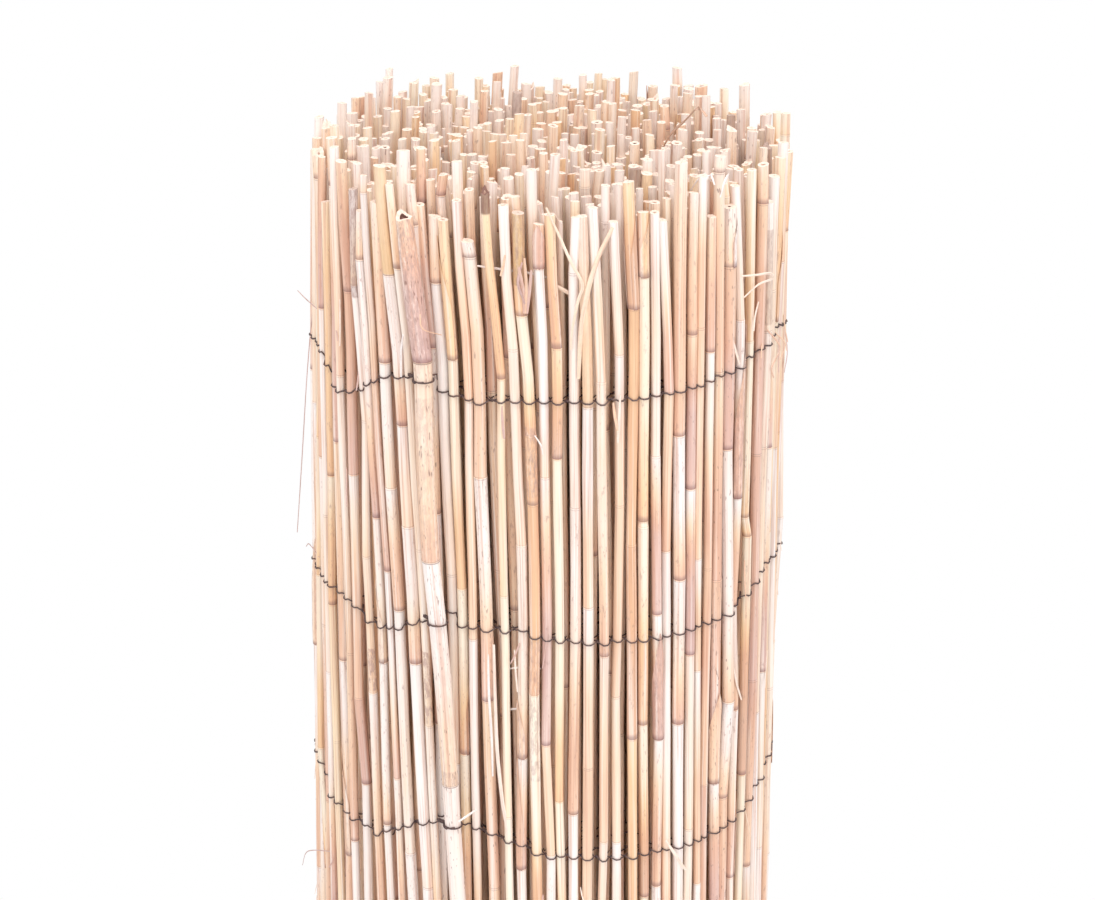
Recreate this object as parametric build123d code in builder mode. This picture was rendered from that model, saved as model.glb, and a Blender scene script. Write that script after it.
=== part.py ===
from build123d import *
import cmath
import math
import os
import random
from collections import namedtuple

os.makedirs("parts", exist_ok=True)

# The mat, in mm: canes side by side, bound by rows of wire, then rolled up and stood on end
mat_height = 1000.0        # length the canes are cut to
turn_pitch = 8.9           # from one turn of the roll to the next, at the top
turn_count = 13.6          # turns in the roll, which make the mat 6 m long
eye_radius = 12.0          # of the first turn, round the hollow in the middle
end_bearing = 235.0        # degrees about the axis at which the last cane stands
foot_flare = 1.18          # width of the roll on the floor, over its width at the top
twist = 0.11               # radians that the whole roll turns from its top to the floor

# The canes
slimmest_cane = 3.8
usual_cane = 5.6
last_cane = 9.5            # the mat ends with one stout cane
lean_spread = 0.045        # how unevenly the canes lean, in radians about the axis
lean_memory = 0.9          # share of its lean that a cane takes over from its neighbour
end_lean = 0.2             # extra lean of the last cane, in radians about the axis
end_lean_reach = 0.5       # radians before the end at which a third of it is left
mean_gap = 1.3             # between neighbours, beyond the clearance
top_spread = 8.0           # how unevenly the cane tops are cut
top_limit = 20.0
foot_lift = 6.0            # most that a short cane stays above the floor
standing_share = 0.6       # of the canes, those that stand on the floor
clearance = 0.25
growth_seed = 11           # picks one mat out of all those with these sizes

# The binding wire: in each row one strand runs outside the canes and one inside
wire_diameter = 1.0
wire_sides = 6             # of the strands' section, which stands in for a round one
row_count = 7
row_spacing = 133.0

wire_radius = wire_diameter / 2
stoutest_cane = turn_pitch - 2 * wire_diameter - 3 * clearance
end_angle = turn_count * 2 * math.pi
orientation = math.radians(end_bearing) - end_angle
row_margin = (mat_height - (row_count - 1) * row_spacing) / 2

Cane = namedtuple("Cane", "top foot radius rise lift turn")


def half_turn(angle):
    """Radius and centre of the half circle that the roll follows at this angle, and its number."""
    number = max(0, math.ceil(angle / math.pi) - 1)
    side = 1 if number % 2 else -1
    return eye_radius + number * turn_pitch / 2, side * turn_pitch / 4, number


def section(level):
    """Scale and turn of the roll's plan as a complex factor, from level 0 at the top to 1 on the floor."""
    foot = foot_flare * cmath.exp(1j * twist)
    return cmath.exp(1j * orientation) * ((1 - level) + level * foot)


def plan_place(angle, inset, level):
    """Plan position that lies the inset within the outer strand, as a complex number."""
    radius, centre, number = half_turn(angle)
    factor = section(level)
    outward = cmath.exp(1j * angle)
    return factor * (centre + radius * outward) - inset * outward * factor / abs(factor)


def sag(radius, lean):
    """How far a straight leaning cane passes within the circle that its ends stand on."""
    return radius * (1 - math.cos(lean / 2))


def lay_canes():
    """All canes of the mat, from its outer end to its inner one."""
    dice = random.Random(growth_seed)
    canes = []
    angle = end_angle
    radius, lean, uneven = last_cane / 2, end_lean, 0.0
    seat = turn_pitch - wire_radius - wire_diameter - 3 * clearance
    inset = seat - radius - sag(half_turn(end_angle)[0], lean + twist)
    while angle > 0:
        arc_radius, centre, number = half_turn(angle)
        top, foot = plan_place(angle, inset, 0), plan_place(angle + lean, inset, 1)
        rise = max(-top_limit, min(top_limit, dice.gauss(0, top_spread)))
        lift = 0.0 if dice.random() < standing_share else dice.uniform(0, foot_lift)
        canes.append(Cane(top, foot, radius, rise, lift, number // 2))

        # The next cane leans much as this one does, and leaves room for the strand behind it
        uneven = lean_memory * uneven + dice.gauss(0, lean_spread * math.sqrt(1 - lean_memory ** 2))
        lean = uneven + end_lean * math.exp((angle - end_angle) / end_lean_reach)
        room = stoutest_cane - sag(arc_radius * foot_flare, abs(lean) + twist)
        least = radius + 2 * clearance
        radius = dice.triangular(slimmest_cane, room, usual_cane) / 2
        least += radius
        inset = wire_radius + clearance + radius

        # It stands clear of this one at both ends
        angle -= least / 2 / arc_radius
        while min(
            abs(plan_place(angle, inset, 0) - top),
            abs(plan_place(angle + lean, inset, 1) - foot),
        ) < least:
            angle -= clearance / arc_radius
        angle -= dice.expovariate(1 / mean_gap) / arc_radius
    return canes


def cane_solid(cane, shift):
    """One straight cane, from its foot to its cut top."""
    slope = (cane.top - cane.foot) / mat_height
    foot = cane.foot + slope * cane.lift - shift
    height = mat_height + cane.rise - cane.lift
    run = (slope.real * height, slope.imag * height, height)
    with BuildSketch(Plane.XY.offset(cane.lift), mode=Mode.PRIVATE) as end:
        with Locations((foot.real, foot.imag)):
            Circle(cane.radius)
    return extrude(end.sketch, amount=Vector(*run).length, dir=run, mode=Mode.PRIVATE)


canes = lay_canes()
turns = canes[0].turn + 1

# The middle of the box round all canes is the origin, on the floor
reach = [(place, cane.radius) for cane in canes for place in (cane.top, cane.foot)]
left = min(place.real - radius for place, radius in reach)
right = max(place.real + radius for place, radius in reach)
front = min(place.imag - radius for place, radius in reach)
back = max(place.imag + radius for place, radius in reach)
middle = complex((left + right) / 2, (front + back) / 2)

# Canes, one node for each turn of the roll
for turn in range(turns):
    with BuildPart() as turn_of_canes:
        add([cane_solid(cane, middle) for cane in canes if cane.turn == turn])
    turn_of_canes.part.label = f"canes_turn_{turn + 1:02d}"
    export_step(turn_of_canes.part, f"parts/{turn_of_canes.part.label}.step")


def strand_path(row_plane, scale, inset, end):
    """Line of one strand along the spiral, as far as the given angle."""
    with BuildLine(row_plane) as path:
        start = 0.0
        while start < end:
            radius, centre, number = half_turn(start + math.pi / 2)
            stretch = min(math.pi, end - start)
            CenterArc((centre * scale, 0), radius * scale - inset, math.degrees(start), math.degrees(stretch))
            start += math.pi
    return path.wire()


# Binding wire, one node for each row, with the tie round the last cane
last = canes[0]
tie_radius = last.radius + clearance + wire_radius
for row in range(row_count):
    height = mat_height - row_margin - row * row_spacing
    level = 1 - height / mat_height
    factor = section(level)
    last_place = last.top * (1 - level) + last.foot * level
    arc_radius, centre, number = half_turn(end_angle)
    bearing = cmath.phase(last_place / factor - centre)
    full_turns = round((end_angle - bearing) / (2 * math.pi))
    tie_share = (tie_radius + wire_radius + clearance) / (arc_radius * abs(factor))
    strand_end = bearing + full_turns * 2 * math.pi - tie_share
    row_plane = Plane(
        (-middle.real, -middle.imag, height),
        x_dir=(factor.real, factor.imag, 0),
        z_dir=(0, 0, 1),
    )
    tie_plane = Plane(
        (last_place.real - middle.real, last_place.imag - middle.imag, height),
        z_dir=(last.top.real - last.foot.real, last.top.imag - last.foot.imag, mat_height),
    )
    with BuildPart() as wire_row:
        for inset in (0.0, stoutest_cane + wire_diameter + 2 * clearance):
            path = strand_path(row_plane, abs(factor), inset, strand_end)
            with BuildSketch(Plane(origin=path @ 0, z_dir=path % 0)):
                RegularPolygon(wire_radius, wire_sides)
            sweep(path=path)
        with Locations(tie_plane):
            Torus(tie_radius, wire_radius)
    wire_row.part.label = f"binding_wire_row_{row + 1}"
    export_step(wire_row.part, f"parts/{wire_row.part.label}.step")

top_length = sum(abs(a.top - b.top) for a, b in zip(canes, canes[1:]))
foot_length = sum(abs(a.foot - b.foot) for a, b in zip(canes, canes[1:]))
print(f"{len(canes)} canes in {turns} turns, mat {top_length:.0f} mm long at the top, {foot_length:.0f} at the floor")
print(f"plan {right - left:.1f} by {back - front:.1f} mm, rows from {row_margin:.1f} mm")

# The flat foot that stands on the floor nearest the middle is where the mount is stated
rest = min((cane.foot - middle for cane in canes if cane.lift == 0), key=abs)
print(f"rests on the floor at {rest.real:.3f}, {rest.imag:.3f} mm")
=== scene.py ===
import math
import random

import bpy
import numpy as np
from mathutils import Matrix, Vector


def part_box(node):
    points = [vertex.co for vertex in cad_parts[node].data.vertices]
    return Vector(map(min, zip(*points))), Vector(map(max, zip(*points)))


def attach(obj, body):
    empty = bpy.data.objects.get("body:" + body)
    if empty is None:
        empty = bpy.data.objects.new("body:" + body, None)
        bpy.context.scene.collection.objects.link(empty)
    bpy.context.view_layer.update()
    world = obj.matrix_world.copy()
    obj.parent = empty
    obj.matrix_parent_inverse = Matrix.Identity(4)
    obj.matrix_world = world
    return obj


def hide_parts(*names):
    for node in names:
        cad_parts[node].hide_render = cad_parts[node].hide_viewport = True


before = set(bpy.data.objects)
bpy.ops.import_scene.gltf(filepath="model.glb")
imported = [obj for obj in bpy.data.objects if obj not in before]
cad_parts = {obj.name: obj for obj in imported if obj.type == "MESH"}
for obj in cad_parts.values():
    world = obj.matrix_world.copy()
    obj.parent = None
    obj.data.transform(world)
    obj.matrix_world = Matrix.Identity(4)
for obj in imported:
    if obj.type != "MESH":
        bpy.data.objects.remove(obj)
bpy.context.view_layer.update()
caneNodes = sorted(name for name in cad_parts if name.startswith("canes_turn_"))
wireNodes = sorted(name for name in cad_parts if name.startswith("binding_wire_row_"))
print("frame loaded:", len(caneNodes), "turns of canes,", len(wireNodes), "rows of wire")


# Colours are written as they look on a screen, 0 to 255
def tint(red, green, blue):
    def linear(value):
        share = value / 255
        return share / 12.92 if share <= 0.04045 else ((share + 0.055) / 1.055) ** 2.4
    return (linear(red), linear(green), linear(blue), 1.0)


# One socket of a material, on which arithmetic adds Math nodes
class Val:
    def __init__(self, graph, socket):
        self.graph = graph
        self.socket = socket

    def maths(self, operation, *values):
        return self.graph.add("ShaderNodeMath", {"operation": operation}, dict(enumerate(values)))

    def __add__(self, other):
        return self.maths("ADD", self, other)

    def __radd__(self, other):
        return self.maths("ADD", other, self)

    def __sub__(self, other):
        return self.maths("SUBTRACT", self, other)

    def __rsub__(self, other):
        return self.maths("SUBTRACT", other, self)

    def __mul__(self, other):
        return self.maths("MULTIPLY", self, other)

    def __rmul__(self, other):
        return self.maths("MULTIPLY", other, self)

    def least(self, other):
        return self.maths("MINIMUM", self, other)

    def most(self, other):
        return self.maths("MAXIMUM", self, other)

    def between(self, low, high):
        # 0 at low and 1 at high, with soft ends
        settings = {"interpolation_type": "SMOOTHSTEP"}
        limits = {0: self, 1: low, 2: high, 3: 0.0, 4: 1.0}
        return self.graph.add("ShaderNodeMapRange", settings, limits)


# A material or a world, and its nodes
class Graph:
    def __init__(self, name, home=bpy.data.materials):
        self.material = home.new(name)
        self.material.use_nodes = True
        self.tree = self.material.node_tree
        self.tree.nodes.clear()

    def add(self, kind, settings=None, inputs=None, output=0):
        node = self.tree.nodes.new(kind)
        for key, value in (settings or {}).items():
            if key == "stops":
                self.setStops(node.color_ramp, value)
            else:
                setattr(node, key, value)
        for key, value in (inputs or {}).items():
            if isinstance(value, Val):
                self.tree.links.new(value.socket, node.inputs[key])
            else:
                node.inputs[key].default_value = value
        return Val(self, node.outputs[output]) if node.outputs else None

    def setStops(self, ramp, stops):
        while len(ramp.elements) < len(stops):
            ramp.elements.new(0.5)
        for element, (place, colour) in zip(ramp.elements, stops):
            element.position = place
            element.color = colour

    def attribute(self, name, output="Fac"):
        return self.add("ShaderNodeAttribute", {"attribute_name": name}, output=output)

    def ramp(self, value, stops):
        return self.add("ShaderNodeValToRGB", {"stops": stops}, {0: value})

    def mix(self, share, first, second, blend="MIX"):
        settings = {"data_type": "RGBA", "blend_type": blend}
        return self.add("ShaderNodeMix", settings, {0: share, 6: first, 7: second}, output=2)

    def vector(self, operation, *values):
        return self.add("ShaderNodeVectorMath", {"operation": operation}, dict(enumerate(values)))

    def noise(self, place, scale, detail=2.0, roughness=0.5):
        values = {"Vector": place, "Scale": scale, "Detail": detail, "Roughness": roughness}
        return self.add("ShaderNodeTexNoise", {}, values)

    def bump(self, height, distance, strength=1.0):
        values = {"Height": height, "Distance": distance, "Strength": strength}
        return self.add("ShaderNodeBump", {}, values)

    def split(self, vector):
        node = self.add("ShaderNodeSeparateXYZ", {}, {0: vector}).socket.node
        return [Val(self, socket) for socket in node.outputs]

    def surface(self, inputs):
        shader = self.add("ShaderNodeBsdfPrincipled", {}, inputs)
        self.add("ShaderNodeOutputMaterial", {}, {0: shader})
        return self.material


# Reads the canes of one turn back from its node: foot, top and radius of each, in the order of its mesh
def readCanes(node):
    mesh = node.data
    points = np.empty(len(mesh.vertices) * 3)
    mesh.vertices.foreach_get("co", points)
    points, order, same = np.unique(
        np.round(points.reshape(-1, 3), 6), axis=0, return_index=True, return_inverse=True)
    ends = np.empty(len(mesh.edges) * 2, dtype=int)
    mesh.edges.foreach_get("vertices", ends)
    first, second = same.reshape(-1)[ends].reshape(-1, 2).T
    island = order.copy()
    while True:
        grown = island.copy()
        lower = np.minimum(island[first], island[second])
        np.minimum.at(grown, first, lower)
        np.minimum.at(grown, second, lower)
        if (grown == island).all():
            break
        island = grown
    found = []
    for name in np.unique(island):
        own = points[island == name]
        middle = own[:, 2].mean()
        low, high = own[own[:, 2] < middle], own[own[:, 2] > middle]
        foot, top = low.mean(0), high.mean(0)
        radius = np.linalg.norm(low[:, :2] - foot[:2], axis=1).mean()
        found.append((foot, top, radius))
    return found


# Smooth curve through a table, whose rows are a bearing in degrees or a height, and the value there
def follow(table, place):
    stops, values = zip(*table)
    index = np.clip(np.searchsorted(stops, place) - 1, 0, len(stops) - 2)
    stops, values = np.array(stops, dtype=float), np.array(values, dtype=float)
    share = np.clip((place - stops[index]) / (stops[index + 1] - stops[index]), 0, 1)
    share = share * share * (3 - 2 * share)
    return values[index] * (1 - share) + values[index + 1] * share


# A mesh that grows tube by tube, with the values its material needs at each point
caneValues = ("caneLook", "caneCoord", "caneJoint", "caneMark")
sharpAngle = 50                 # degrees past which an edge is sharp


class Growing:
    def __init__(self, extras=()):
        self.count = 0
        self.points = []
        self.faces = []
        self.extras = {key: [] for key in extras}

    # Rings of points, shape (rings, sides, 3), joined into a tube
    def tube(self, rings, extras=None):
        number, sides = rings.shape[:2]
        index = self.count + np.arange(number * sides).reshape(number, sides)
        self.points.append(rings.reshape(-1, 3))
        self.count += number * sides
        lower, upper = index[:-1], index[1:]
        around = np.stack([lower, np.roll(lower, -1, axis=1), np.roll(upper, -1, axis=1), upper], axis=2)
        self.faces.append(around.reshape(-1, 4))
        for key, rows in (extras or {}).items():
            self.extras[key].append(np.broadcast_to(rows, rings.shape).reshape(-1, 3))
        return index

    def lid(self, ring):
        self.faces.append(ring[None, :])

    def build(self, name, material):
        mesh = bpy.data.meshes.new(name)
        points = np.concatenate(self.points)
        loops = np.concatenate([faces.ravel() for faces in self.faces])
        sizes = np.concatenate([np.full(len(faces), faces.shape[1]) for faces in self.faces])
        mesh.vertices.add(len(points))
        mesh.vertices.foreach_set("co", points.astype(np.float32).ravel())
        mesh.loops.add(len(loops))
        mesh.loops.foreach_set("vertex_index", loops.astype(np.int32))
        mesh.polygons.add(len(sizes))
        starts = np.concatenate([[0], np.cumsum(sizes)[:-1]])
        mesh.polygons.foreach_set("loop_start", starts.astype(np.int32))
        for key, rows in self.extras.items():
            layer = mesh.attributes.new(key, "FLOAT_VECTOR", "POINT")
            layer.data.foreach_set("vector", np.concatenate(rows).astype(np.float32).ravel())
        mesh.update(calc_edges=True)
        mesh.validate()
        mesh.shade_smooth()
        mesh.set_sharp_from_angle(angle=math.radians(sharpAngle))
        mesh.materials.append(material)
        piece = bpy.data.objects.new(name, mesh)
        bpy.context.scene.collection.objects.link(piece)
        print(name, "built,", sum(len(face.vertices) - 2 for face in mesh.polygons), "triangles")
        return piece


# The camera stands where the photograph was taken
cameraPlan = {"lens": 73.35, "sensor": 36.0, "place": (0.0004, -1.153, 1.3175), "down": 23.27, "roll": 0.6}
camera = bpy.data.cameras.new("camera")
camera.lens = cameraPlan["lens"]
camera.sensor_width = cameraPlan["sensor"]
cameraStand = bpy.data.objects.new("camera", camera)
cameraStand.matrix_world = (
    Matrix.Translation(cameraPlan["place"])
    @ Matrix.Rotation(math.radians(90 - cameraPlan["down"]), 4, "X")
    @ Matrix.Rotation(math.radians(cameraPlan["roll"]), 4, "Z"))
bpy.context.scene.collection.objects.link(cameraStand)
bpy.context.scene.camera = cameraStand


# The roll as a whole: its canes lean more near the mat's outer end than straight ones do
rollPlan = {
    "push": 0.0125,             # sideways, round the roll, where it is most
    "pushByBearing": ((-95, 0), (-70, 0.55), (-40, 1), (-15, 1), (15, 0.25), (45, 0.12), (75, 0)),
    "pushByHeight": ((0.0, 0), (0.55, 1), (0.75, 0.8), (0.9, 0.45), (1.0, -0.12), (1.1, -0.25)),
    "pushByTurn": (0, 0, 0, 0, 0, 0, 0, 0, 0, 0.2, 0.45, 0.75, 1, 1),
    "outside": 0.135,           # of the roll's outer canes from its axis, at the top
    "splay": 0.0016,            # how far the loose tops stray, at the height below
    "splayHeight": 0.1,         # above the top row of wire
    "splayOut": (0.6, 0.3),     # share of it away from the axis, of the inner turns and of the last one
    "lastTurn": len(caneNodes) - 1,
}

# The first turn is left out because of its few canes, and the last one because it isn't a whole turn
turns = [readCanes(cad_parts[name]) for name in caneNodes]
rollAxis = np.mean([(foot + top)[:2] / 2 for turn in turns[1:-1] for foot, top, radius in turn], axis=0)


# Starts a turn at its outer end, where the canes' distance from the axis jumps
def fromOuterEnd(turn):
    reach = [math.hypot(*(top[:2] - rollAxis)) for foot, top, radius in turn]
    jumps = [reach[index] - reach[index - 1] for index in range(len(turn))]
    start = jumps.index(max(jumps))
    return turn[start:] + turn[:start]


turns = [fromOuterEnd(turn) for turn in turns]
wireLevels = [sum(corner[2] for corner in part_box(name)) / 2 for name in wireNodes]


# Bearing in degrees round the roll, 0 in front and growing to the right
def bearingOf(angle):
    return (np.degrees(angle) + 90 + 180) % 360 - 180


canePlan = {
    "seed": 5,
    "sides": {"outer": 12, "second": 8, "inner": 8},
    "firstJoint": (0.01, 0.14),  # above the foot
    "jointSpacing": (0.08, 0.17),
    "jointFree": (0.05, 0.008),  # least distance from a joint at a known place, and from the top
    "jointWidth": 0.0010,
    "jointSwell": 0.04,         # share of the radius
    "sheathStep": 0.06,         # share of the radius by which a leaf sheath stands proud
    "kink": 0.0009,             # sideways step of a cane's line at its joints
    "taper": 0.12,              # share of the radius lost from the thick end to the thin one
    "wobble": 0.03,             # share of the radius by which it swells and shrinks
    "bore": (0.22, 0.45),       # share of the radius
    "openShare": 0.5,           # of the canes, those whose bore shows
    "boreDepth": 0.006,
    "wall": 0.15,               # share of the radius, of the raised rim round the bore
    "cutSlant": 0.16,           # steepest slope of a cut end
    "brokenShare": 0.03,        # of the canes, those whose top is splintered
    "splinter": 0.0035,         # height of the splinter
    "ragged": 0.0008,           # of a splintered top's edge
    "innerReach": 0.30,         # length of an inner cane's top that has its joints
    "ringSpacing": 0.036,
}

# Tones of the skin, from pale wax at 0 over cream, straw and tan to a brown old sheath at 1
skinPlan = {
    "usual": (0.2, 0.26, 0.32, 0.38, 0.46, 0.55, 0.62),
    "spread": 0.05,
    "sheath": (0.45, 0.85),
    "sheathed": 0.4,            # of the joints, those with a leaf sheath above
    "waxed": 0.5,               # of the joints, those with wax below
    "wax": 0.06,
    "drift": 0.06,              # how unevenly the tone changes along a plain stretch
    "fade": (0.25, 0.95),       # share of a stretch at which its upper tone gives way to its lower one
    "fadeStart": 0.35,          # share of a stretch before that place at which it starts
    "fadeLength": 0.6,
    "paintedTopLight": (0.28, 0.045),     # painted light: by how much the skin is paler at the cut top, where the tops catch the light from above, and how far down
    # Painted shade: the canes inside the roll, seen only in the shade between the outer canes, go to one warm
    # straw tone below their tops so that this shade renders warm brown; their wax is less pale and their tone
    # is kept from the palest, so that it doesn't render grey
    "covered": {
        "tone": 0.46, "share": 0.85, "second": 0.6, "below": 0.03, "over": 0.05, "least": 0.12, "wax": 0.16,
    },
}

# Joints that stand at known places on the front of the roll: bearing in degrees and height in mm.
# A sheathed one has a leaf sheath above it, and the cane is pale with wax below a waxed one
shownJoints = {
    ("sheathed", "plain"): (
        (-58.5, 939), (-45.1, 822), (-39.7, 962), (-26.9, 948), (-5.8, 843), (17.1, 947), (20.9, 705),
        (21.1, 831), (21.8, 963), (24.6, 712), (34.0, 928), (47.4, 959), (50.3, 647)),
    ("bare", "waxed"): (
        (-55.8, 840), (-52.1, 946), (-45.6, 717), (-40.3, 843), (-35.7, 825), (-27.0, 861), (-19.5, 851),
        (-16.2, 856), (-10.9, 790), (-1.6, 858), (-1.2, 637), (1.5, 670), (12.9, 923), (23.6, 828),
        (25.8, 866), (29.9, 811), (39.1, 802), (52.5, 928), (58.2, 913)),
    ("sheathed", "waxed"): (
        (-67.2, 829), (-60.2, 724), (-55.8, 615), (-48.3, 656), (-27.8, 917), (-7.7, 944), (-5.9, 696),
        (-3.0, 969), (1.4, 869), (28.6, 701), (33.0, 875), (39.7, 917), (46.9, 859), (51.9, 828),
        (53.8, 700), (56.1, 813), (59.3, 802), (60.9, 587), (67.6, 844)),
    ("bare", "plain"): (
        (-52.0, 709), (-48.7, 797), (-28.9, 711), (-20.4, 746), (-11.2, 926), (-9.3, 820), (-6.7, 881),
        (6.2, 841), (8.6, 690), (13.4, 644), (14.8, 841), (17.0, 730), (29.8, 900), (36.7, 931),
        (42.9, 794), (43.2, 661), (45.5, 904), (66.2, 914)),
}

# The stout cane that ends the mat
stoutPlan = {
    "seed": 0.95,
    "joints": (0.486, 0.681, 0.811, 0.918),     # heights, of which the last has the sheath
    "tones": ((0.4, 0.45, 0.36, 0.62, 0.86), (0.3, 0.1, 0.06, 0.3, 0.7)),   # of each stretch, low and high
    "bore": 0.52,               # share of its radius
    "boreDepth": 0.3,           # share of the others' depth
    "splinter": 0.003,
    "out": 0.0008,              # further from the axis than its solid
    "widths": (                 # shares of its radius, by height
        (0.0, 0.90), (0.68, 0.92), (0.78, 0.97), (0.88, 0.98), (0.916, 0.99), (0.922, 1.10), (0.955, 1.08),
        (0.985, 0.86), (1.02, 0.80)),
    "push": ((0.0, 0.0), (0.55, 0.0056), (0.7, 0.0050), (0.85, 0.0022), (1.0, 0.0014)),
    # From a height to a height: how amber, dark and mottled the skin is
    "marks": (
        (0.918, 1.1, (0.0, 0.0, 0.75)), (0.908, 0.9175, (0.0, 0.0, 0.3)), (0.8115, 0.9, (0.0, 0.0, 0.4)),
        (0.69, 0.8105, (0.0, 0.0, 0.2)), (0.6815, 0.69, (0.0, 0.1, 0.6))),
}

# Other canes that stand out, by bearing or by the place of their top, with their marks as above
markedCanes = (
    {"bearing": -26.9, "marks": ((0.953, 1.1, (0.0, 0.55, 0.4)),)},
    {"bearing": -55.2, "marks": ((0.94, 1.1, (0.0, 0.35, 0.8)),)},
    {"bearing": -7.8, "marks": ((0.96, 1.1, (0.55, 0.25, 0.6)), (0.848, 0.886, (0.0, 0.0, 0.7)))},
    {"bearing": -4.4, "marks": ((0.684, 0.767, (0.0, 0.0, 0.55)),)},
    {"bearing": 65.0, "marks": ((0.918, 0.97, (0.1, 0.25, 0.4)),)},
    {"bearing": -48.5, "marks": ((0.719, 0.744, (0.1, 0.0, 0.9)),)},
    {"bearing": -29.4, "marks": ((0.713, 0.755, (0.1, 0.0, 0.9)),)},
    {"bearing": 7.4, "marks": ((0.9, 1.1, (0.3, 0.0, 0.2)),)},
    {"top": (-0.080, -0.095, 1.012), "girth": 1.45, "joint": 0.958,
     "marks": ((0.9585, 1.1, (0.7, 0.0, 0.1)),)},
    {"top": (-0.033, -0.120, 1.004), "broken": True, "marks": ((0.995, 1.1, (0.0, 0.9, 0.6)),)},
    {"top": (0.044, -0.069, 1.008), "marks": ((0.9, 1.1, (0.0, 0.7, 0.4)),)},
    {"top": (0.094, 0.003, 1.018), "marks": ((0.9, 1.1, (0.3, 0.55, 0.3)),)},
    {"top": (0.111, -0.023, 1.018), "marks": ((0.9, 1.1, (0.25, 0.6, 0.3)),)},
    {"top": (0.003, -0.060, 1.005), "marks": ((0.9, 1.1, (0.5, 0.0, 0.2)),)},
    {"top": (-0.020, 0.050, 1.010), "marks": ((0.9, 1.1, (0.1, 0.5, 0.5)),)},
)

# Leaf sheaths that stand open round the cane and taper to a tip
sheathPlan = {
    "share": 0.22,              # of the sheathed stretches
    "arc": (150, 290),          # degrees
    "length": (0.03, 0.10),
    "proud": 0.00022,
    "thickness": 0.00016,
    "peel": (0.0, 0.0007),      # how far the tip leans away from the cane
    "curl": 0.0003,             # how far the edges stand off
    "taper": 0.45,              # share of its length at which it starts to narrow
    "points": 8,                # along it, and across
}


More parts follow.
